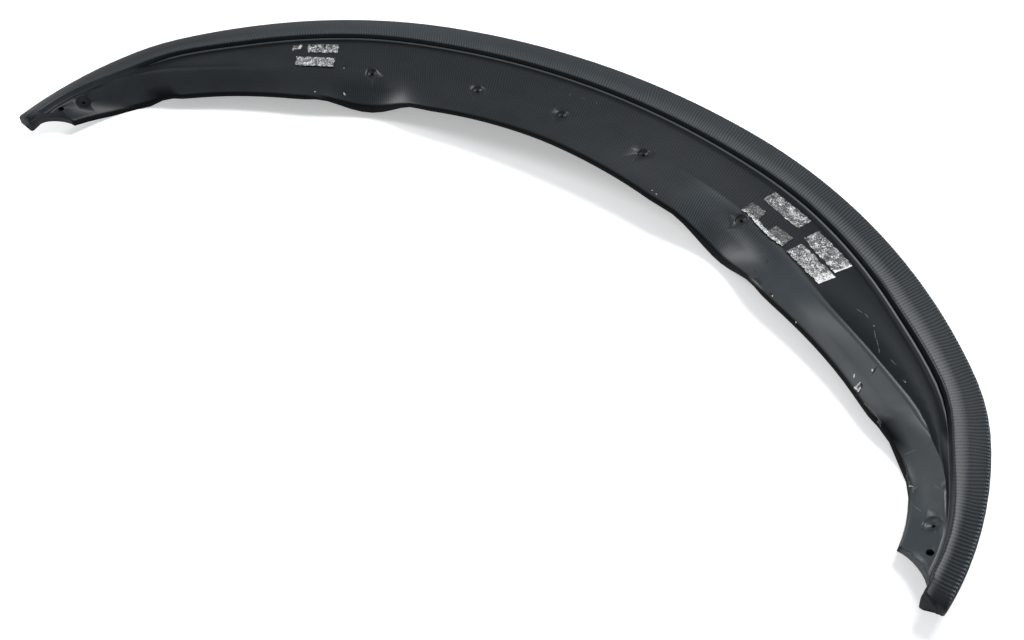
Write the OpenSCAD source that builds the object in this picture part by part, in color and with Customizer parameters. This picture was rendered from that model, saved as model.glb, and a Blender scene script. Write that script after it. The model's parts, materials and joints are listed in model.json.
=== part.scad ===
// Front splitter lip of a car: one moulded carbon fibre skin, bowed in plan, 1.8 m wide.
// Every section across the bow has an outer wall, a rim, a channel with a thin bead, a deck,
// and a ramp that falls from a crease to the inner edge and ends in a short flange.
// A place on the bow is given by s, the length along the front edge from the middle, and v,
// the distance inward from that edge. Heights inside a section are measured from the rim.
// X runs across the car, Y toward the front edge, Z up. The origin is on the floor.

/* [Bow in plan] */
// Radius of the front edge at the middle
mid_r = 1320; // [1240:10:1400]
// Half of the angle that the middle arc turns through
mid_a = 15.5; // [14.5:0.5:16.5]
// Radius of the front edge along each wing
wing_r = 880; // [830:10:930]
// Angle that the wing arc turns through
wing_a = 37.8; // [36:0.1:39.5]
// Radius of the front edge round each corner
corner_r = 325; // [295:5:355]
// Angle that the corner arc turns through
corner_a = 17.3; // [15.5:0.1:19]
// Radius of the front edge at each end
end_r = 580; // [530:10:630]
// Angle that the end arc turns through
end_a = 26.8; // [25.5:0.1:28]

/* [Stance] */
// Height of the rim above the floor at the tips
tip_h = 51.2; // [50:0.2:60]
// Rise of the rim toward the front, for each millimetre of Y
rise = 0.1; // [0.08:0.005:0.12]

/* [Skin] */
// Thickness of the moulded skin
skin_t = 3; // [2.5:0.1:3.5]
// Radius of the rim's outer edge
edge_r = 8; // [6:0.5:9]
// Radius of the rim's inner edge
lip_r = 3; // [2:0.5:4]

/* [Rim and outer wall] */
// Width of the rim at the middle of the bow
rim_mid_w = 64; // [60:1:68]
// Width of the rim along each wing
rim_wing_w = 59.5; // [56:0.5:63]
// Width of the rim round each corner
rim_corner_w = 51; // [48:0.5:54]
// Width of the rim at each tip
rim_tip_w = 34; // [31:0.5:36]
// Rise of the rim from its outer edge to its inner edge
rim_lean = 2; // [1:0.5:3]
// Height of the outer wall at each tip
wall_tip_h = 17; // [15:1:20]
// Distance from the middle at which the outer wall leaves the floor
wall_lift_s = 430; // [380:10:480]

/* [Channel and bead] */
// Width of the channel behind the rim
chan_w = 2; // [1.5:0.1:3]
// Depth of the channel under the bead's foot
chan_d = 2; // [1:0.5:3]
// Width of the bead along the channel
bead_w = 2.5; // [2:0.1:3.5]
// Height of the bead above its foot
bead_h = 3.5; // [2.5:0.5:4.5]
// Depth of the bead's foot under the rim's outer edge
foot_d = 10.5; // [9:0.5:12]
// Width of the slope from the bead's foot to the deck
slope_w = 7; // [5:0.5:7.5]

/* [Deck and crease] */
// Depth of the deck under the rim's outer edge
deck_d = 15; // [13:0.5:17]
// Distance from the front edge to the crease along the middle
crease_v = 151; // [146:1:156]
// Depth of the crease under the rim along the middle
crease_d = 16; // [14:0.5:18]
// Height that the crease gains along each wing
crease_gain = 11; // [9:0.5:12]

/* [Inner edge] */
// Width of the lip at the middle, from the front edge to the inner edge
inner_mid_w = 229; // [221:1:237]
// Width of the lip behind each tip
inner_end_w = 77.5; // [74:0.5:81]
// Depth of the inner edge under the rim at the middle
inner_mid_d = 19; // [17:1:23]
// Depth that the inner edge gains from the middle to the wings
inner_gain = 24; // [20:1:28]
// Depth that the inner edge gains again at each lobe
lobe_d = 25; // [20:1:28]
// Distance from the middle to the centre of each lobe
lobe_s = 480; // [470:1:490]
// Height of the flange along the inner edge
flange_h = 9; // [8:0.5:11]
// Height that the flange gains at the lobes
lobe_flange_h = 8; // [6:1:10]
// Height that the flange gains behind the tips
end_flange_h = 4; // [3:0.5:5]

/* [Tips] */
// Length of each tip, from its end to the notch
tip_len = 65; // [62:0.5:66.5]
// Length of the notch's curve
notch_len = 42; // [38:1:46]
// Radius of the tip's outer corner in plan
tip_r = 4; // [3:0.5:6]
// Height of the inner wall at the end of each tip
tip_wall_h = 33; // [30:1:36]
// Distance that this wall leans in under the rim
tip_wall_in = 7; // [5:0.5:9]

/* [Screw cups and holes] */
// Distance from the middle to the inner pair of deck cups
cup_inner_s = 212; // [202:1:222]
// Distance from the middle to the outer pair of deck cups
cup_outer_s = 482; // [474:1:490]
// Distance from the front edge to the deck cups
cup_v = 160; // [156:1:164]
// Radius of a cup at its mouth
cup_r = 11; // [9:0.5:12]
// Radius of an end cup at its mouth
end_cup_r = 13; // [11:0.5:14]
// Depth of a cup
cup_d = 5; // [4:0.5:6]
// Diameter of the screw hole in a cup
screw_d = 5.5; // [4.5:0.5:6.5]
// Distance from the tip to the end cup
end_cup_s = 117; // [113:1:122]
// Distance from the front edge to the end cup
end_cup_v = 54; // [53:0.5:57]
// Diameter of the open hole near each tip
tip_hole_d = 10; // [8:0.5:11]
// Distance from the tip to the open hole
tip_hole_s = 68; // [66:1:71]
// Distance from the front edge to the open hole
tip_hole_v = 45; // [43:0.5:47]

/* [Tape residue] */
// Width of the double-sided tape
tape_w = 31; // [28:1:33]
// Length of a whole strip of tape
tape_l = 90; // [80:1:95]
// Thickness of the tape residue
tape_t = 0.8; // [0.6:0.1:1.2]

/* [Hidden] */
$fn = 32;

skin_colour = "#2b2f34";
tape_colour = "#c9ccce";

// Shape laws: each one is a smooth function of s.
function ramp(x, a, b) = let (t = min(1, max(0, (x - a) / (b - a)))) t * t * (3 - 2 * t);
function hump(x, c, w) = let (t = min(1, abs(x - c) / w)) pow(1 - t * t, 2);

// Plan: each arc's centre and starting angle follow from the arc before it, so the edge is smooth.
bow_r = [mid_r, wing_r, corner_r, end_r];
bow_a = [mid_a, wing_a, corner_a, end_a];
function arc_len(i) = bow_r[i] * bow_a[i] * PI / 180;
function arc_a(i) = i == 0 ? 0 : arc_a(i - 1) + bow_a[i - 1];
function arc_s(i) = i == 0 ? 0 : arc_s(i - 1) + arc_len(i - 1);
function arc_centre(i) = i == 0 ? [0, -bow_r[0]]
    : arc_centre(i - 1) + (bow_r[i - 1] - bow_r[i]) * [sin(arc_a(i)), cos(arc_a(i))];
function arc_at(s) = s < arc_s(1) ? 0 : s < arc_s(2) ? 1 : s < arc_s(3) ? 2 : 3;
function raw_plan(s, v) = let (i = arc_at(s), a = arc_a(i) + (s - arc_s(i)) / bow_r[i] * 180 / PI)
    arc_centre(i) + (bow_r[i] - v) * [sin(a), cos(a)];

bow_len = arc_s(4);
notch_s = bow_len - tip_len;
notch_end = notch_s + notch_len;
cap_s = bow_len - 1.2 * tip_r;

// Stretches of the bow over which something changes, as parts of its half length.
RIM_TO_WING = [0.25, 0.43];
RIM_TO_CORNER = [0.6, 0.75];
RIM_TO_TIP = [0.8, 0.95];
WALL_CUT = [wall_lift_s / bow_len, 0.885];
CHANNEL_END = [0.72, 0.82];
END_LEVEL = [0.82, 0.92];
DECK_END = [0.87, 0.925];
CREASE_RISE = [0.5, 0.655];
CREASE_IN = [0.545, 0.96];
CREASE_CLOSE = [0.81, 0.845];
INNER_MID = [0.03, 0.25];
INNER_TAPER = [0.363, 0.91];
INNER_NARROW = [0.738, 0.853];
INNER_SINK = [0, 0.42];
INNER_DROP = [0.765, 0.83];
INNER_CLIMB = [0.826, 1.002];
FLANGE_END = [0.784, 0.822];
function over(s, stretch) = ramp(s, stretch[0] * bow_len, stretch[1] * bow_len);
lobe_reach = 0.112 * bow_len;

// Stations along one half: close together where the notch turns.
long_n = 42;
notch_n = 8;
half_s = [
    for (i = [1:long_n]) i * (notch_s - 3) / long_n,
    for (i = [0:notch_n]) notch_s + notch_len * pow(i / notch_n, 1.6),
    cap_s - 0.1 * tip_r,
    for (part = [1.2, 0.75, 0.35, 0.1]) bow_len - part * tip_r,
    bow_len - 0.01
];

// The bow is centred on the origin. The rim climbs toward the front from its tips.
function tip_round(s) = let (q = min(1, max(0, (s - bow_len + tip_r) / tip_r))) 1 - sqrt(1 - q * q);
function outer_v(s) = tip_r * tip_round(s);
bow_depth = -min([for (s = half_s) raw_plan(s, outer_v(s))[1]]);
function rim_z(y) = tip_h + rise * (y + bow_depth / 2);
function place(s, v, z) = let (p = raw_plan(abs(s), v), y = p[1] + bow_depth / 2)
    [sign(s) * p[0], y, max(0, rim_z(y) + z)];

// The outer wall stands on the floor along the front and is cut back toward the tips.
function wall_h(s) = let (h = rim_z(raw_plan(s, 0)[1] + bow_depth / 2))
    h - (h - wall_tip_h) * over(s, WALL_CUT);

// Rim: it narrows toward the tips, and its inner edge stands a little above its outer edge.
rim_end_lean = 1.5 * rim_lean;
function rim_w(s) = rim_mid_w - (rim_mid_w - rim_wing_w) * over(s, RIM_TO_WING)
    - (rim_wing_w - rim_corner_w) * over(s, RIM_TO_CORNER)
    - (rim_corner_w - rim_tip_w) * over(s, RIM_TO_TIP);
function rim_inner_z(s) = rim_lean + rim_end_lean * over(s, END_LEVEL);

// Channel, bead and deck all come to one level toward the tips.
end_d = 0.6 * deck_d;
function chan_fade(s) = 1 - over(s, CHANNEL_END);
function foot_z(s) = -foot_d + (foot_d - end_d) * over(s, DECK_END);
function deck_z(s) = -deck_d + (deck_d - end_d) * over(s, DECK_END);

crease_end_v = 1.25 * rim_tip_w;
crease_close = 0.04 * crease_v;
crease_fall = crease_d - crease_gain - end_d;
function crease_at(s) = crease_v - (crease_v - crease_end_v) * over(s, CREASE_IN)
    - crease_close * over(s, CREASE_CLOSE);
function crease_z(s) = -crease_d + crease_gain * over(s, CREASE_RISE) + crease_fall * over(s, END_LEVEL);

// Inner edge: it narrows toward the ends, dips inward at the lobes and turns in at the notch.
inner_wing_w = inner_mid_w - deck_d / 3;
inner_taper = inner_wing_w - inner_end_w;
lobe_in = 0.096 * inner_mid_w;
end_drop = 0.7 * inner_gain;
end_climb = 44 / 24 * inner_gain;
tip_w = rim_tip_w + 1;
tip_inner_z = -1.4 * end_d;
notch_p = 1.6;
function notch_rest(s) = let (q = min(1, max(0, (s - notch_s) / notch_len)))
    1 - pow(1 - pow(1 - q, notch_p), 1 / notch_p);
function inner_base_v(s) = inner_mid_w - (inner_mid_w - inner_wing_w) * over(s, INNER_MID)
    - inner_taper * (0.72 * over(s, INNER_TAPER) + 0.28 * over(s, INNER_NARROW))
    - lobe_in * hump(s, lobe_s, 1.3 * lobe_reach);
function inner_v(s) = s < notch_s ? inner_base_v(s)
    : tip_w + (inner_base_v(notch_s) - tip_w) * notch_rest(s) - 0.6 * tip_r * tip_round(s);
function inner_base_z(s) = -inner_mid_d - inner_gain * over(s, INNER_SINK)
    - lobe_d * hump(s, lobe_s, lobe_reach) - end_drop * over(s, INNER_DROP)
    + end_climb * over(s, INNER_CLIMB);
function inner_z(s) = s < notch_s ? inner_base_z(s)
    : tip_inner_z + (inner_base_z(notch_s) - tip_inner_z) * notch_rest(s);
function flange(s) = flange_h + lobe_flange_h * hump(s, lobe_s, 0.9 * lobe_reach)
    + end_flange_h * over(s, FLANGE_END);
function flange_z(s) = let (k = ramp(s, notch_end, cap_s))
    (inner_z(s) - flange(s)) * (1 - k) + (rim_inner_z(s) - tip_wall_h) * k;
function flange_v(s, z) = inner_v(s)
    - tip_wall_in * ramp(s, notch_s, notch_end) * max(0, rim_inner_z(s) - z) / tip_wall_h;

// Upper face of one section as [v, z] pairs, from the outer wall to the flange.
// Where the lip narrows, points that no longer fit close up against the inner edge.
function upper(s) = let (
    v0 = outer_v(s), vi = inner_v(s), zi = inner_z(s), rw = min(rim_w(s), vi - lip_r),
    fade = chan_fade(s), zf = foot_z(s), zd = deck_z(s), zc = crease_z(s), zr = rim_inner_z(s),
    cw = rw + chan_w * fade + 0.6, cz = zf - chan_d * fade, bz = zf + bead_h * fade,
    bw = bead_w * (0.4 + 0.6 * fade), d0 = cw + bw + 0.5, vc = max(crease_at(s), d0 + 3),
    d1 = d0 + min(slope_w, (vc - d0) / 3), blend = min(14, (vc - d1) / 2),
    vr = max(vi - vc, 1), sag = hump(s, lobe_s, lobe_reach),
    p = [
        for (a = [0:30:90]) [v0 + edge_r * (1 - cos(a)), -edge_r * (1 - sin(a))],
        [(edge_r + rw) / 2, zr / 2 + 0.8],
        [rw - lip_r, zr],
        [rw - 0.3 * lip_r, zr - 0.3 * lip_r],
        [rw, zr - lip_r],
        [rw + 0.3, cz],
        [cw - 0.2, cz],
        [cw, bz - 0.3 * bead_w * fade],
        [cw + bw / 2, bz],
        [cw + bw, bz - 0.3 * bead_w * fade],
        [d0, zf],
        [d1, zd],
        [vc - blend, zd],
        [vc - blend / 3, zd + (zc - zd) * 0.75 - 0.4],
        [vc, zc - 1],
        [vc + vr * (0.15 + 0.2 * sag), zc - 1 - (zc - zi) * 0.12],
        [vc + vr * (0.55 + 0.1 * sag), zc - 1 - (zc - zi) * (0.54 - 0.06 * sag)],
        [vi - 5, zi + 0.5],
        [vi - 1.4, zi - 1.2],
        [vi, zi - 5]
    ],
    last = len(p) - 1
) [for (j = [0:last]) [min(p[j][0], flange_v(s, p[j][1]) - (last - j) * 0.12), p[j][1]]];

// Whole section: the upper face, the flange, then the underside back to the outer wall.
// The skin is thicker across v where the notch runs slantwise, so its true thickness holds.
// Over the last few millimetres of a tip the underside is flat and low, which closes the end.
function section(s) = let (
    top = upper(s), last = len(top) - 1, vi = inner_v(s), t = skin_t, v0 = outer_v(s),
    slant = (inner_v(s + 1) - inner_v(s - 1)) / 2,
    te = min(t * sqrt(1 + min(9, slant * slant)), vi - 0.4 * rim_w(s)),
    fz = flange_z(s), wz = -wall_h(s), closed = s > cap_s - 0.01,
    below = function (j, dv, dz) let (z = top[j][1] - dz)
        [min(top[j][0] + dv, flange_v(s, z) - te - (last - j) * 0.12), z],
    inside_z = min(top[last][1], top[last - 1][1] - t),
    closed_z = max(wz, fz) - 2,
    under = [
        [flange_v(s, inside_z) - te, inside_z],
        below(last - 2, -t, 1.3 * t),
        below(last - 3, -t, 1.3 * t),
        below(last - 4, -t, 1.2 * t),
        below(last - 5, 0, t),
        below(last - 7, 0, t),
        below(last - 8, 0, t),
        below(9, t, t),
        below(8, -t, t),
        below(7, -t, t),
        below(5, -1, t),
        [v0 + edge_r + t, -t],
        [v0 + t + 1, -edge_r + 1],
        [v0 + t, -edge_r - t]
    ]
) [
    [v0, wz],
    each top,
    [flange_v(s, fz), fz],
    [flange_v(s, fz) - te, fz],
    each [for (j = [0:len(under) - 1]) let (k = (j + 1) / (len(under) + 1))
        closed ? [(flange_v(s, closed_z) - te) * (1 - k) + (v0 + t) * k, closed_z] : under[j]],
    [v0 + t, wz]
];

// Solid between cross-sections given as rings of points. Its facets turn over at the middle
// ring, so that a solid which is the same on both sides has the same facets on both.
module loft(rings, middle) {
    m = len(rings[0]);
    n = len(rings);
    faces = [
        [for (j = [0:m - 1]) j],
        for (i = [0:n - 2]) for (j = [0:m - 1]) let (a = i * m + j, b = i * m + (j + 1) % m)
            each i < middle ? [[a, a + m, b + m], [a, b + m, b]] : [[a, a + m, b], [b, a + m, b + m]],
        [for (j = [m - 1:-1:0]) (n - 1) * m + j]
    ];
    polyhedron(points = [for (r = rings) each r], faces = faces, convexity = 12);
}

module skin() {
    last = len(half_s) - 1;
    stations = [for (i = [last:-1:0]) -half_s[i], 0, each half_s];
    loft([for (s = stations) [for (q = section(abs(s))) place(s, q[0], q[1])]], last + 1);
}

// Puts its children at the surface, with their Z along the surface's outward normal.
module on_surface(s, v) {
    spot = function (ds, dv) place(s + ds, v + dv, lookup(v + dv, upper(abs(s + ds))));
    reach = 7;
    n = cross(spot(reach, 0) - spot(-reach, 0), spot(0, -reach) - spot(0, reach)) * (s < 0 ? -1 : 1);
    u = n / norm(n) * (n[2] < 0 ? -1 : 1);
    translate(spot(0, 0))
        rotate([0, acos(u[2]), atan2(u[1], u[0])])
            children();
}

// Room under the skin near s, used to keep a cup's wall from standing above the surface.
module under_skin(s) {
    pitch = 4 * skin_t;
    floor_d = 5 * deck_d;
    loft([for (k = [-2:2]) let (si = s + k * pitch, top = upper(abs(si)), last = len(top) - 1) [
        for (q = top) place(si, q[0], q[1] - 0.6 * skin_t),
        place(si, top[last][0], -floor_d),
        place(si, top[0][0], -floor_d)
    ]], s < 0 ? 5 : 0);
}

// Moulded dish with a screw hole: the body hangs under the skin and the dish is cut into it.
module cup_body(s, v, r) {
    intersection() {
        on_surface(s, v)
            translate([0, 0, -cup_d - skin_t])
                cylinder(h = cup_d + skin_t, r1 = 0.75 * r + skin_t, r2 = r + skin_t);
        under_skin(s);
    }
}

module cup_cut(s, v, r) {
    cut_over = 8;
    on_surface(s, v) {
        translate([0, 0, -cup_d])
            cylinder(h = cup_d + cut_over, r1 = 0.75 * r, r2 = r + 0.25 * r * cut_over / cup_d);
        translate([0, 0, -4 * cup_d])
            cylinder(h = 4 * cup_d, d = screw_d);
    }
}

CUPS = [
    [0, cup_v - 3, cup_r],
    for (k = [-1, 1]) each [[k * cup_inner_s, cup_v, cup_r], [k * cup_outer_s, cup_v, cup_r],
        [k * (bow_len - end_cup_s), end_cup_v, end_cup_r]]
];

// Open hole near a tip, straight through the skin.
module tip_hole(k) {
    on_surface(k * (bow_len - tip_hole_s), tip_hole_v)
        cylinder(h = 8 * skin_t, d = tip_hole_d, center = true);
}

module lip() {
    color(skin_colour) difference() {
        union() {
            skin();
            for (c = CUPS) cup_body(c[0], c[1], c[2]);
        }
        for (c = CUPS) cup_cut(c[0], c[1], c[2]);
        for (k = [-1, 1]) tip_hole(k);
    }
}

// Tape residue lies on the deck's plane. Each outline is a list of [s, v] places.
deck_lean = atan(rise);
function on_deck(q) = let (p = raw_plan(abs(q[0]), q[1]))
    [sign(q[0]) * p[0], (p[1] + bow_depth) / cos(deck_lean)];

module tape(outline) {
    color(tape_colour)
        translate([0, -bow_depth / 2, tip_h - deck_d])
            rotate([deck_lean, 0, 0])
                linear_extrude(height = tape_t)
                    polygon([for (q = outline) on_deck(q)]);
}

// Strip of tape from its outer near corner, with its far end set inward by slant.
function strip(s, v, l, w, slant) = [[s, v], [s + l, v + slant], [s + l + 0.1 * w, v + slant + w],
    [s + 0.1 * w, v + w]];

// The strips start along the deck's outer edge or just inside its crease, and no strip is whole.
outer_row_v = 73;
inner_row_v = 116;
right_s = 469;
left_s = 656;
torn_outline = [[0, 0], [0.37, -0.13], [0.43, 0.55], [0.81, 0.71], [0.78, 0.13], [1.23, -0.06],
    [1.3, 0.77], [0.81, 0.9], [0.14, 0.74], [0.03, 0.81]];
scrap_outline = [[0, 0.55], [0.01, 0], [0.24, 0], [0.22, 0.48]];
function torn_at(s, v, outline) = [for (q = outline) [s + q[0] * tape_l, v + q[1] * tape_w]];

module tape_right_outer() tape(strip(right_s, outer_row_v + 2, tape_l, tape_w - 3, -3));
module tape_right_corner() tape(strip(right_s + 121, outer_row_v + 2, tape_l, tape_w, -2));
module tape_right_inner() tape(strip(right_s + 134, inner_row_v + 1, tape_l, tape_w - 1, -8));
module tape_right_torn() tape(torn_at(right_s - 2, inner_row_v + 8, torn_outline));
module tape_left_outer() tape(strip(-left_s, outer_row_v, 0.75 * tape_l, tape_w - 3, 3));
module tape_left_inner() tape(strip(-left_s - 21, inner_row_v - 1, tape_l, tape_w - 2, 8));
module tape_left_scrap() tape(torn_at(-left_s - 37, outer_row_v, scrap_outline));

lip();
tape_left_outer();
tape_left_inner();
tape_left_scrap();
tape_right_outer();
tape_right_corner();
tape_right_inner();
tape_right_torn();
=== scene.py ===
import json
import math

import bpy
from mathutils import Matrix, Vector


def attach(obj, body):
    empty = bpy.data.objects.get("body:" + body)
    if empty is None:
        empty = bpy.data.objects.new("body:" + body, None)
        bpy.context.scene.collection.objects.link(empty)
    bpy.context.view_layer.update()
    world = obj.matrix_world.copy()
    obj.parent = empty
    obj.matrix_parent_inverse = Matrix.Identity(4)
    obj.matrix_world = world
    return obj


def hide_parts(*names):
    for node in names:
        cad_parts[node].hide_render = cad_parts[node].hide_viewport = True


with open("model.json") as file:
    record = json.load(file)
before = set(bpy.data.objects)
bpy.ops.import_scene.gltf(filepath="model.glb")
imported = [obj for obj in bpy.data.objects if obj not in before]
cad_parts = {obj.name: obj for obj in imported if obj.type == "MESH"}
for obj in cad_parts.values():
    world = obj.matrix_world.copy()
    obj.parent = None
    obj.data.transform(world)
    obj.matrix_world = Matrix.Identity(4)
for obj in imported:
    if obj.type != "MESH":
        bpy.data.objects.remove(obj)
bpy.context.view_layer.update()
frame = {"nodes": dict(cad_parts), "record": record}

# Camera. The picture was taken from behind the lip's right end, well above it, with a lens
# that takes in 59 degrees across the frame. Its axes are across, up and back.
view_across = Vector((0.8206, 0.5714, 0.0065))
view_up = Vector((-0.4106, 0.5817, 0.7022))
view_back = Vector((0.3975, -0.5789, 0.7120))
view_from = (0.7581, -1.0597, 1.0282)
camera_data = bpy.data.cameras.new("camera")
camera_data.lens = 31.64
camera_data.sensor_width = 36.0
camera_data.clip_end = 60.0
camera = bpy.data.objects.new("camera", camera_data)
bpy.context.scene.collection.objects.link(camera)
turn = Matrix((view_across, view_up, view_back)).transposed().to_4x4()
camera.matrix_world = Matrix.Translation(view_from) @ turn
bpy.context.scene.camera = camera
bpy.context.scene.view_settings.view_transform = "Standard"

# Studio. A white floor and a white room, both white to the camera and plainer to the lip. One
# wide soft light hangs overhead, one stands far off on the left and gives the ramps on the
# right their sheen, and a weak one is behind the camera.
room_light = 0.34
floor_size = 30
floor_glow_near, floor_glow_far = 0.385, 1.0
glow_starts, glow_ends = 1.6, 4.0


def link(tree, start, end):
    tree.links.new(start, end)


def node_in(tree, kind, **settings):
    made = tree.nodes.new(kind)
    for name, value in settings.items():
        setattr(made, name, value)
    return made


def sum_of(tree, operation, *values):
    """A Math node of two values or sockets, read from its output."""
    made = node_in(tree, "ShaderNodeMath", operation=operation)
    for i, value in enumerate(values):
        if isinstance(value, (int, float)):
            made.inputs[i].default_value = value
        else:
            link(tree, value, made.inputs[i])
    return made.outputs["Value"]


room = bpy.data.worlds.new("white_room")
bpy.context.scene.world = room
room.use_nodes = True
tree = room.node_tree
tree.nodes.clear()
room_out = node_in(tree, "ShaderNodeOutputWorld")
seen = node_in(tree, "ShaderNodeBackground")
seen.inputs["Color"].default_value = (1, 1, 1, 1)
seen.inputs["Strength"].default_value = 1.0
unseen = node_in(tree, "ShaderNodeBackground")
unseen.inputs["Color"].default_value = (0.93, 0.97, 1.0, 1)
unseen.inputs["Strength"].default_value = room_light
rays = node_in(tree, "ShaderNodeLightPath")
pick = node_in(tree, "ShaderNodeMixShader")
link(tree, rays.outputs["Is Camera Ray"], pick.inputs["Fac"])
link(tree, unseen.outputs["Background"], pick.inputs[1])
link(tree, seen.outputs["Background"], pick.inputs[2])
link(tree, pick.outputs["Shader"], room_out.inputs["Surface"])

bpy.ops.object.select_all(action="DESELECT")
bpy.ops.mesh.primitive_plane_add(size=floor_size, location=(0, 0, 0))
floor = bpy.context.object
floor.name = "floor"
bpy.ops.object.transform_apply(location=True, rotation=True, scale=True)
paper = bpy.data.materials.new("white_floor")
paper.use_nodes = True
tree = paper.node_tree
finish = tree.nodes["Principled BSDF"]
finish.inputs["Base Color"].default_value = (0.88, 0.885, 0.89, 1)
finish.inputs["Roughness"].default_value = 0.95
finish.inputs["Specular IOR Level"].default_value = 0.1
rays = node_in(tree, "ShaderNodeLightPath")
floor_place = node_in(tree, "ShaderNodeTexCoord")
away = node_in(tree, "ShaderNodeVectorMath", operation="LENGTH")
link(tree, floor_place.outputs["Object"], away.inputs[0])
glow = node_in(tree, "ShaderNodeMapRange")
link(tree, away.outputs["Value"], glow.inputs["Value"])
glow.inputs["From Min"].default_value = glow_starts
glow.inputs["From Max"].default_value = glow_ends
glow.inputs["To Min"].default_value = floor_glow_near
glow.inputs["To Max"].default_value = floor_glow_far
shown_glow = sum_of(tree, "MULTIPLY", rays.outputs["Is Camera Ray"], glow.outputs["Result"])
link(tree, shown_glow, finish.inputs["Emission Color"])
finish.inputs["Emission Strength"].default_value = 1.0
floor.data.materials.append(paper)


def soft_light(name, place, target, size, power):
    data = bpy.data.lights.new(name, "AREA")
    data.shape = "DISK"
    data.size = size
    data.energy = power
    lamp = bpy.data.objects.new(name, data)
    bpy.context.scene.collection.objects.link(lamp)
    lamp.location = place
    aim = Vector(target) - Vector(place)
    lamp.rotation_mode = "QUATERNION"
    lamp.rotation_quaternion = aim.to_track_quat("-Z", "Y")


soft_light("overhead", (0.6, 1.2, 3.0), (0, 0, 0), 1.5, 80)
soft_light("left_side", (-4.5, -1.3, 2.4), (0.2, 0, 0), 2.0, 150)
soft_light("behind_camera", (1.6, -2.4, 2.2), (0.2, 0, 0), 1.6, 8)

# The lip. One moulding of woven carbon cloth in clear resin, about 3 mm thick, laid up in a
# mould so that the cloth follows the bow. The resin hides most of the cloth toward the ends.
# A place on it is read from its own map: s along the front edge and v inward from it.
bow_radii = (1.320, 0.880, 0.325, 0.580)
bow_turns = [math.radians(a) for a in (15.5, 37.8, 17.3, 26.8)]
front_y = 0.36162
bow_arcs = []
centre = Vector((0, front_y - bow_radii[0]))
start_turn, start_s = 0.0, 0.0
for i, (radius, turn_by) in enumerate(zip(bow_radii, bow_turns)):
    bow_arcs.append((centre.copy(), radius, start_turn, start_turn + turn_by, start_s))
    start_turn += turn_by
    start_s += radius * turn_by
    if i < 3:
        step = radius - bow_radii[i + 1]
        centre += step * Vector((math.sin(start_turn), math.cos(start_turn)))
bow_length = start_s
rim_height, rim_rise = 0.0512, 0.1
# Lines across a section, measured inward from the rim's inner edge
rim_turns_down, rim_foot, channel_end = -0.0032, -0.0003, 0.0023
bead_end, bead_foot = 0.0055, 0.0068
# Heights below the rim at which the channel's wall and the bead's side turn to painted shade
channel_wall, bead_side = -0.004, -0.0095
# Widths of the painted dark band and the painted highlight line along the rim's outer edge
painted_dark_band, painted_highlight_line = 0.002, 0.005
# Width of the painted shade along the inner edge, where the turned-down flange lies in shadow,
# and how level a face there can lie and still be painted dark
edge_shade_width, edge_shade_lean = 0.006, 0.65
# The inner edge is found separately in each 5 mm along the bow
bins_in_metre = 200


def bow_place(x, y):
    """How far along the front edge and how far inward from it a point lies."""
    side = 1 if x >= 0 else -1
    for i, (middle, radius, first, last, first_s) in enumerate(bow_arcs):
        turned = math.atan2(abs(x) - middle.x, y - middle.y)
        if turned <= last or i == 3:
            reach = math.hypot(abs(x) - middle.x, y - middle.y)
            return side * (first_s + radius * (turned - first)), radius - reach


def ramp(x, low, high):
    """0 below low, 1 above high and a smooth rise between them."""
    t = min(1.0, max(0.0, (x - low) / (high - low)))
    return t * t * (3 - 2 * t)


def along(s, low, high):
    return ramp(abs(s) / bow_length, low, high)


def rim_width(s):
    return 0.064 - 0.0045 * along(s, 0.25, 0.43) - 0.0085 * along(s, 0.6, 0.75) \
        - 0.017 * along(s, 0.8, 0.95)


def crease_width(s):
    return 0.151 - 0.1085 * along(s, 0.545, 0.96) - 0.006 * along(s, 0.81, 0.845)


def below_rim(spot):
    return spot.z - rim_height - rim_rise * (spot.y + front_y)


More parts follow.
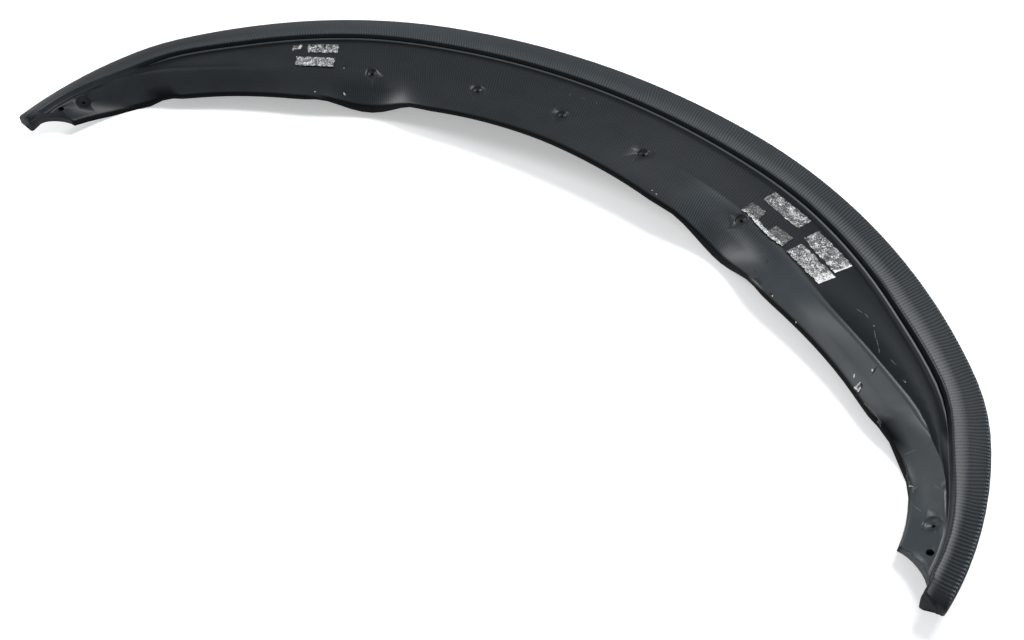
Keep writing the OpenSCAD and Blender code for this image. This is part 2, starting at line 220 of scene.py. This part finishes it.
def finish_and_painted_light_at(s, v, z, facing):
    """How clearly the cloth shows, the light and shade painted on it, and how strong its coat is.
    """
    side = s / bow_length
    past_rim = v - rim_width(s)
    bead = 1 - along(s, 0.72, 0.82)
    right = ramp(side, 0.15, 0.5)
    left = ramp(-side, 0.1, 0.3) * (1 - ramp(-side, 0.55, 0.7))
    in_edge_shade = facing < edge_shade_lean and v > inner_edge[round(bins_in_metre * s)] - edge_shade_width
    # Toward each tip the lip is painted darker, as shade on its end.
    if abs(side) > 0.985:
        return 0.0, 0.5, 0.3
    if past_rim < rim_turns_down:
        # A painted dark band on the rim's rounded outer edge, standing in for its dark reflection.
        if v < painted_dark_band:
            return 0.0, 0.3, 0.1
        cloth = (0.55 + 0.6 * ramp(side, -0.15, 0.2)) * (1 - ramp(-side, 0.72, 0.82))
        # Painted light on the rim: lighter on the left, and on the far left darker toward its inner
        # edge, as light falls there.
        painted_light = 1 + 0.2 * left - 0.5 * ramp(-side, 0.3, 0.7) * ramp(past_rim, -0.05, -0.004)
        coat = 0.72 + 0.2 * left - 0.22 * right - 0.3 * right * ramp(v, 0.01, 0.028)
        # On the right a painted highlight line runs along the outer edge.
        if v < painted_highlight_line:
            return cloth + 0.9 * right, painted_light + 2.4 * right, coat
        return cloth, painted_light, coat
    # A painted highlight on the rim's rounded inner edge, where the cloth shows fully.
    if past_rim < rim_foot and z > channel_wall:
        return 1.0, 1.3 + 0.4 * bead - 0.3 * right, 0.8 - 0.2 * right
    # Painted shade in the channel where the bead runs.
    if past_rim < channel_end:
        return 0.0, 0.9 - 0.5 * bead, 0.4 - 0.2 * bead
    # A painted highlight on the bead's top, and painted shade at its foot.
    if bead > 0.1 and past_rim < bead_end and z > bead_side:
        return 0.0, 0.4 + 2.2 * bead, 1.0
    if bead > 0.1 and past_rim < bead_foot:
        return 0.0, 0.3, 0.1
    # On the deck the painted light is lower than on the rim, and higher near the right end.
    if v < crease_width(s) - 0.002:
        cloth = 0.9 - 0.85 * along(s, 0.36, 0.5)
        return cloth, 0.62 + 0.15 * ramp(side, 0.65, 0.8), 0.5 - 0.45 * right
    # Painted shade along the inner edge, where the turned-down flange lies in shadow.
    if in_edge_shade and v > crease_width(s) + 0.02:
        return 0.0, 0.15, 0.1
    cloth = 0.8 - 0.8 * along(s, 0.4, 0.5)
    # On the ramps the painted light rises toward the right, as sheen from the light on the left,
    # with a painted highlight patch on the right lobe.
    painted_light = 0.66 + 0.8 * ramp(side, 0.2, 0.6)
    painted_light += 0.7 * ramp(side, 0.24, 0.3) * (1 - ramp(side, 0.31, 0.36))
    return cloth, painted_light, 0.52 + 0.2 * ramp(side, 0.2, 0.6)


def merged_copy(node, name):
    """A copy of a plain node with its loose triangles merged, selected and active."""
    made = node.copy()
    made.data = node.data.copy()
    made.name = name
    bpy.context.scene.collection.objects.link(made)
    made.parent = None
    bpy.ops.object.select_all(action="DESELECT")
    bpy.context.view_layer.objects.active = made
    made.select_set(True)
    bpy.ops.object.mode_set(mode="EDIT")
    bpy.ops.mesh.select_all(action="SELECT")
    bpy.ops.mesh.remove_doubles(threshold=0.00001)
    bpy.ops.object.mode_set(mode="OBJECT")
    return made


def bow_map_on(piece):
    """Gives a piece its map of s and v, and returns the places of its vertices."""
    places = [bow_place(vertex.co.x, vertex.co.y) for vertex in piece.data.vertices]
    while piece.data.uv_layers:
        piece.data.uv_layers.remove(piece.data.uv_layers[0])
    bow_map = piece.data.uv_layers.new(name="bow")
    for corner in piece.data.loops:
        bow_map.data[corner.index].uv = places[corner.vertex_index]
    return places


moulding = merged_copy(frame["nodes"]["lip"], "moulding")
bpy.ops.object.shade_smooth_by_angle(angle=math.radians(32))
places = bow_map_on(moulding)
inner_edge = {}
for s, v in places:
    for nearby in range(round(bins_in_metre * s) - 1, round(bins_in_metre * s) + 2):
        inner_edge[nearby] = max(v, inner_edge.get(nearby, 0))
# Its red channel is how clearly the cloth shows, its green the painted light and shade, and its
# blue the clear coat.
resin = moulding.data.attributes.new("resin", "FLOAT_COLOR", "POINT")
for vertex, (s, v) in zip(moulding.data.vertices, places):
    cloth_painted_light_coat = finish_and_painted_light_at(s, v, below_rim(vertex.co), vertex.normal.z)
    resin.data[vertex.index].color = (*cloth_painted_light_coat, 1)

# Twill weave of the cloth. Tows 1.9 mm wide pass over two and under two, and the ribs that
# this makes run 18 degrees off square to the front edge. The group gives which tow lies on top
# and how far it stands up there.
weave = bpy.data.node_groups.new("twill_weave", "ShaderNodeTree")
weave.interface.new_socket("Place", in_out="INPUT", socket_type="NodeSocketVector")
weave.interface.new_socket("Over", in_out="OUTPUT", socket_type="NodeSocketFloat")
weave.interface.new_socket("Crown", in_out="OUTPUT", socket_type="NodeSocketFloat")
weave_in = node_in(weave, "NodeGroupInput")
weave_out = node_in(weave, "NodeGroupOutput")
parts = node_in(weave, "ShaderNodeSeparateXYZ")
link(weave, weave_in.outputs["Place"], parts.inputs["Vector"])
tow_width = 0.00189
rib_turn = math.radians(18)
steps, crowns = [], []
for tow_turn in (rib_turn - math.pi / 4, rib_turn + math.pi / 4):
    across = sum_of(weave, "MULTIPLY", parts.outputs["X"], math.sin(tow_turn) / tow_width)
    inward = sum_of(weave, "MULTIPLY", parts.outputs["Y"], math.cos(tow_turn) / tow_width)
    count = sum_of(weave, "ADD", across, inward)
    steps.append(sum_of(weave, "FLOOR", count))
    part = sum_of(weave, "FRACT", count)
    crowns.append(sum_of(weave, "SINE", sum_of(weave, "MULTIPLY", part, math.pi)))
lag = sum_of(weave, "SUBTRACT", steps[0], steps[1])
over = sum_of(weave, "LESS_THAN", sum_of(weave, "FLOORED_MODULO", lag, 4.0), 1.5)
crown = node_in(weave, "ShaderNodeMix")
link(weave, over, crown.inputs["Factor"])
link(weave, crowns[0], crown.inputs["A"])
link(weave, crowns[1], crown.inputs["B"])
link(weave, over, weave_out.inputs["Over"])
link(weave, crown.outputs["Result"], weave_out.inputs["Crown"])

# Carbon under its clear coat. The tows are painted lighter and darker by their lie, as a painted
# sheen along the fibres, a cloudy wear lies over them, and the ribs wander by a few millimetres.
carbon_tint = (0.0195, 0.0243, 0.0285)
tow_sheen_contrast, wear_contrast = 1.1, 0.5
rib_drift = 0.012
carbon = bpy.data.materials.new("carbon_cloth")
carbon.use_nodes = True
tree = carbon.node_tree
carbon_finish = tree.nodes["Principled BSDF"]
place_on_bow = node_in(tree, "ShaderNodeUVMap", uv_map="bow")
twill = node_in(tree, "ShaderNodeGroup", node_tree=weave)
resin_there = node_in(tree, "ShaderNodeAttribute", attribute_name="resin")
resin_parts = node_in(tree, "ShaderNodeSeparateColor")
link(tree, resin_there.outputs["Color"], resin_parts.inputs["Color"])
shown, painted_light_level = resin_parts.outputs["Red"], resin_parts.outputs["Green"]
body = node_in(tree, "ShaderNodeTexCoord")


def noise_on(tree, place, scale, detail, distortion=0.0):
    made = node_in(tree, "ShaderNodeTexNoise", noise_dimensions="3D")
    link(tree, place, made.inputs["Vector"])
    made.inputs["Scale"].default_value = scale
    made.inputs["Detail"].default_value = detail
    made.inputs["Distortion"].default_value = distortion
    return made


clouds = noise_on(tree, body.outputs["Object"], 22, 5).outputs["Fac"]
waves = noise_on(tree, body.outputs["Object"], 16, 1).outputs["Color"]
drift = node_in(tree, "ShaderNodeVectorMath", operation="MULTIPLY_ADD")
link(tree, waves, drift.inputs[0])
drift.inputs[1].default_value = (rib_drift, rib_drift, 0)
link(tree, place_on_bow.outputs["UV"], drift.inputs[2])
link(tree, drift.outputs["Vector"], twill.inputs["Place"])
lie = sum_of(tree, "SUBTRACT", twill.outputs["Over"], 0.5)
tow_sheen = sum_of(tree, "MULTIPLY", lie, tow_sheen_contrast)
shown_tow_sheen = sum_of(tree, "MULTIPLY", tow_sheen, shown)
worn = sum_of(tree, "MULTIPLY", sum_of(tree, "SUBTRACT", clouds, 0.5), wear_contrast)
sheen_and_wear = sum_of(tree, "ADD", sum_of(tree, "ADD", shown_tow_sheen, worn), 1.0)
tint = node_in(tree, "ShaderNodeVectorMath", operation="SCALE")
tint.inputs[0].default_value = carbon_tint
# The painted light and shade from the moulding's own attribute scales the carbon's tone.
link(tree, sum_of(tree, "MULTIPLY", painted_light_level, sheen_and_wear), tint.inputs["Scale"])
link(tree, tint.outputs["Vector"], carbon_finish.inputs["Base Color"])
rough = sum_of(tree, "ADD", sum_of(tree, "MULTIPLY", clouds, 0.2), 0.32)
link(tree, rough, carbon_finish.inputs["Roughness"])
relief = node_in(tree, "ShaderNodeBump")
relief.inputs["Strength"].default_value = 0.5
relief.inputs["Distance"].default_value = 0.0003
link(tree, sum_of(tree, "MULTIPLY", twill.outputs["Crown"], shown), relief.inputs["Height"])
link(tree, relief.outputs["Normal"], carbon_finish.inputs["Normal"])
link(tree, resin_parts.outputs["Blue"], carbon_finish.inputs["Coat Weight"])
carbon_finish.inputs["Coat Roughness"].default_value = 0.4
carbon_finish.inputs["Specular IOR Level"].default_value = 0.04
moulding.data.materials.clear()
moulding.data.materials.append(carbon)
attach(moulding, "root")
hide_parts("lip")

# Cards under the holes. Each is a black disc just below the skin that paints the shade in a hole,
# so that a hole looks dark from above. They belong to the studio and not to the lip.
card_overlap, card_gap = 0.003, 0.0012


def plain_material(name, colour, roughness):
    made = bpy.data.materials.new(name)
    made.use_nodes = True
    shader = made.node_tree.nodes["Principled BSDF"]
    shader.inputs["Base Color"].default_value = (*colour, 1)
    shader.inputs["Roughness"].default_value = roughness
    return made


hole_shade_black = plain_material("hole_shade_card", (0.004, 0.004, 0.004), 1.0)
hole_shade_black.node_tree.nodes["Principled BSDF"].inputs["Specular IOR Level"].default_value = 0.0
for mount in frame["record"]["mounts"]:
    axis = Vector(mount["axis"])
    radius = mount["dims"]["r_mm"] / 1000 + card_overlap
    drop = mount["dims"]["length_mm"] / 2000 + card_gap
    bpy.ops.object.select_all(action="DESELECT")
    bpy.ops.mesh.primitive_circle_add(
        vertices=24, radius=radius, fill_type="NGON", location=Vector(mount["pos_m"]) - drop * axis,
        rotation=axis.to_track_quat("Z", "Y").to_euler())
    card = bpy.context.object
    card.name = "card_" + mount["name"]
    bpy.ops.object.transform_apply(location=True, rotation=True, scale=True)
    card.data.materials.append(hole_shade_black)

# Tape residue. Seven strips and scraps of double-sided tape stay on the deck with their silvery
# film crumpled and torn. Each starts as its plain strip, is cut finer and is then crumpled.
film_tint, film_dark, film_bright = (0.97, 0.99, 1.0), 0.03, 0.85
stretch = 1.06
film = bpy.data.materials.new("silver_film")
film.use_nodes = True
tree = film.node_tree
film_finish = tree.nodes["Principled BSDF"]
film_place = node_in(tree, "ShaderNodeUVMap", uv_map="bow")
kept = node_in(tree, "ShaderNodeAttribute", attribute_name="kept")
fine = noise_on(tree, film_place.outputs["UV"], 230, 5, 2.2).outputs["Fac"]
coarse = noise_on(tree, film_place.outputs["UV"], 90, 2, 0.5).outputs["Fac"]
# The fine crinkles are painted lighter and darker, a painted reflection on the crumpled film.
crinkle_glints = sum_of(tree, "MULTIPLY", sum_of(tree, "SUBTRACT", fine, 0.5), 5.0)
patches = sum_of(tree, "MULTIPLY", sum_of(tree, "SUBTRACT", coarse, 0.5), 2.4)
silver = sum_of(tree, "ADD", sum_of(tree, "ADD", crinkle_glints, patches), kept.outputs["Fac"])
silver_level = node_in(tree, "ShaderNodeMapRange")
link(tree, silver, silver_level.inputs["Value"])
silver_level.inputs["To Min"].default_value = film_dark
silver_level.inputs["To Max"].default_value = film_bright
silver_tint = node_in(tree, "ShaderNodeVectorMath", operation="SCALE")
silver_tint.inputs[0].default_value = film_tint
link(tree, silver_level.outputs["Result"], silver_tint.inputs["Scale"])
link(tree, silver_tint.outputs["Vector"], film_finish.inputs["Base Color"])
film_finish.inputs["Roughness"].default_value = 0.4
film_relief = node_in(tree, "ShaderNodeBump")
film_relief.inputs["Strength"].default_value = 0.6
film_relief.inputs["Distance"].default_value = 0.0008
link(tree, fine, film_relief.inputs["Height"])
link(tree, film_relief.outputs["Normal"], film_finish.inputs["Normal"])

tear = bpy.data.textures.new("tear", "CLOUDS")
tear.noise_scale = 0.007
folds = bpy.data.textures.new("folds", "CLOUDS")
folds.noise_scale = 0.009
bends = (("X", tear, 0.004, 0.5), ("Y", tear, 0.005, 0.45), ("Z", folds, 0.002, 0.35))


def crumpled(name, amount):
    """A crumpled copy of one plain strip. The amount says how much of its film is kept."""
    piece = merged_copy(frame["nodes"][name], name + "_film")
    bpy.ops.object.mode_set(mode="EDIT")
    bpy.ops.mesh.select_all(action="SELECT")
    bpy.ops.mesh.subdivide(number_cuts=5)
    bpy.ops.mesh.subdivide(number_cuts=3)
    bpy.ops.object.mode_set(mode="OBJECT")
    for direction, texture, strength, mid_level in bends:
        bend = piece.modifiers.new(direction, "DISPLACE")
        bend.texture = texture
        bend.texture_coords = "LOCAL"
        bend.direction = direction
        bend.strength = strength
        bend.mid_level = mid_level
        bpy.ops.object.modifier_apply(modifier=direction)
    corners = piece.data.vertices
    middle = sum((vertex.co for vertex in corners), Vector()) / len(corners)
    for vertex in corners:
        vertex.co.xy = middle.xy + stretch * (vertex.co.xy - middle.xy)
    places = bow_map_on(piece)
    share = piece.data.attributes.new("kept", "FLOAT", "POINT")
    first, last = min(place[0] for place in places), max(place[0] for place in places)
    for index, (s, v) in enumerate(places):
        share.data[index].value = amount((s - first) / (last - first), v)
    piece.data.materials.clear()
    piece.data.materials.append(film)
    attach(piece, "root")
    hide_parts(name)


crumpled("tape_right_outer", lambda part, v: -0.06)
crumpled("tape_right_corner", lambda part, v: 1.7 * ramp(part, 0.94, 0.97))
crumpled("tape_right_inner", lambda part, v: 0.12 + 0.8 * ramp(part, 0.75, 0.95))
crumpled("tape_right_torn", lambda part, v: -0.45 + 0.8 * ramp(v, 0.142, 0.146))
crumpled("tape_left_outer", lambda part, v: 0.1)
crumpled("tape_left_inner", lambda part, v: 0.15)
crumpled("tape_left_scrap", lambda part, v: 0.15)

# Wear and painted light. Chips and smears of old glue mark the lip's skin, black patches paint the
# shade in small pits and breaks, and three light strokes paint a highlight along the right notch's
# edge. Each is a thin patch that follows the surface under it. Its numbers are s, v, length and
# width in millimetres and its turn in degrees.
patch_lift = 0.00015
cast_from, lowest_skin = 0.3, 0.001
thinnest_end = 0.04


def bow_point(s, v):
    """The point at s along the front edge and v inward from it."""
    for i, (middle, radius, first, last, first_s) in enumerate(bow_arcs):
        turned = first + (abs(s) - first_s) / radius
        if turned <= last or i == 3:
            x = middle.x + (radius - v) * math.sin(turned)
            y = middle.y + (radius - v) * math.cos(turned)
            return math.copysign(x, s), y


def on_skin(s, v):
    """The point just above the skin at s and v, or at the nearest v that lies on the skin."""
    hit, spot = False, None
    while not hit or spot.z < lowest_skin:
        x, y = bow_point(s / 1000, v / 1000)
        hit, spot, normal, face = moulding.ray_cast((x, y, cast_from), (0, 0, -1))
        v -= 1
    return spot + patch_lift * normal


def wear_and_painted_light_patches(name, material, patches):
    made = []
    for s, v, length, width, turn_by in patches:
        bpy.ops.object.select_all(action="DESELECT")
        bpy.ops.mesh.primitive_grid_add(x_subdivisions=8, y_subdivisions=2, size=2)
        patch = bpy.context.object
        turned = math.radians(turn_by)
        for vertex in patch.data.vertices:
            a, b = vertex.co.x, vertex.co.y
            b *= math.sqrt(max(thinnest_end, 1 - a * a)) * (0.8 + 0.3 * math.sin(9 * a + s))
            ds = a * length / 2 * math.cos(turned) - b * width / 2 * math.sin(turned)
            dv = a * length / 2 * math.sin(turned) + b * width / 2 * math.cos(turned)
            vertex.co = on_skin(s + ds, v + dv)
        made.append(patch)
    bpy.ops.object.select_all(action="DESELECT")
    for patch in made:
        patch.select_set(True)
    bpy.context.view_layer.objects.active = made[0]
    bpy.ops.object.join()
    whole = bpy.context.object
    whole.name = name
    bpy.ops.object.transform_apply(location=True, rotation=True, scale=True)
    whole.data.materials.append(material)
    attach(whole, "root")


wear_and_painted_light_patches("chips", plain_material("bare_chip", (0.5, 0.51, 0.52), 0.6), [
    (911, 150, 8, 3.4, -20), (916, 147, 7, 3.2, 38), (908, 147, 6, 3, 60), (891, 149, 6, 2, 10),
    (901, 131, 4, 2, 0), (743, 189, 3, 1.5, 0), (668, 199, 3, 2, 0), (813, 99, 2, 1.4, 0),
    (930, 93, 2.5, 2, 0), (-547, 192, 6, 3, 20), (-622, 199, 4, 2, 0), (-555, 153, 3, 1.5, 0),
    (290, 213, 3, 1.4, 0), (303, 214, 3, 1.4, 0), (1106, 82, 8, 1.4, -60)])
# The three strokes at s 1246 to 1258 paint the highlight along the right notch's rolled edge.
wear_and_painted_light_patches("smears_and_edge_highlight", plain_material("dry_glue_and_edge_highlight", (0.06, 0.066, 0.07), 0.6), [
    (777, 107, 14, 1.2, -25), (790, 101, 12, 1.5, -10), (830, 104, 18, 1.2, 15),
    (848, 107, 18, 1.2, 10), (864, 110, 12, 1.2, 12), (890, 98, 14, 1.2, -20),
    (1090, 86, 30, 1.6, -14), (1152, 72, 28, 1.3, -25), (1130, 58, 14, 1.2, -30),
    (1060, 90, 12, 1.2, -60), (1114, 78, 10, 5, 0), (974, 136, 60, 1.6, -17),
    (-20, 100, 8, 1.5, 40), (10, 97, 9, 1.5, -30), (42, 96, 8, 1.5, 50), (-800, 128, 3, 1.5, 0),
    (-757, 137, 3, 1.5, 0), (1246, 66, 9, 1.6, -75), (1250, 57, 10, 1.6, -70),
    (1258, 47, 12, 1.5, -55), (1114, 77, 8, 4, 20), (949, 144, 12, 2, -17),
    (1000, 130, 14, 2, -17)])
# Black patches that paint the shade in pits, dents and breaks.
wear_and_painted_light_patches("pit_shades", plain_material("pit_shade_black", (0.003, 0.003, 0.003), 0.7), [
    (903, 129, 9, 3.5, 40), (921, 150, 12, 3.5, 60), (913, 144, 8, 3, 0), (928, 94, 6, 5, 0),
    (620, 203, 24, 9, 0), (595, 176, 6, 3, 60), (594, 195, 4, 3, 0), (661, 199, 6, 4, 0),
    (-543, 189, 9, 7, 0), (458, 168, 22, 5, 25), (470, 171, 14, 4, 60), (1081, 88, 22, 1.6, -14)])
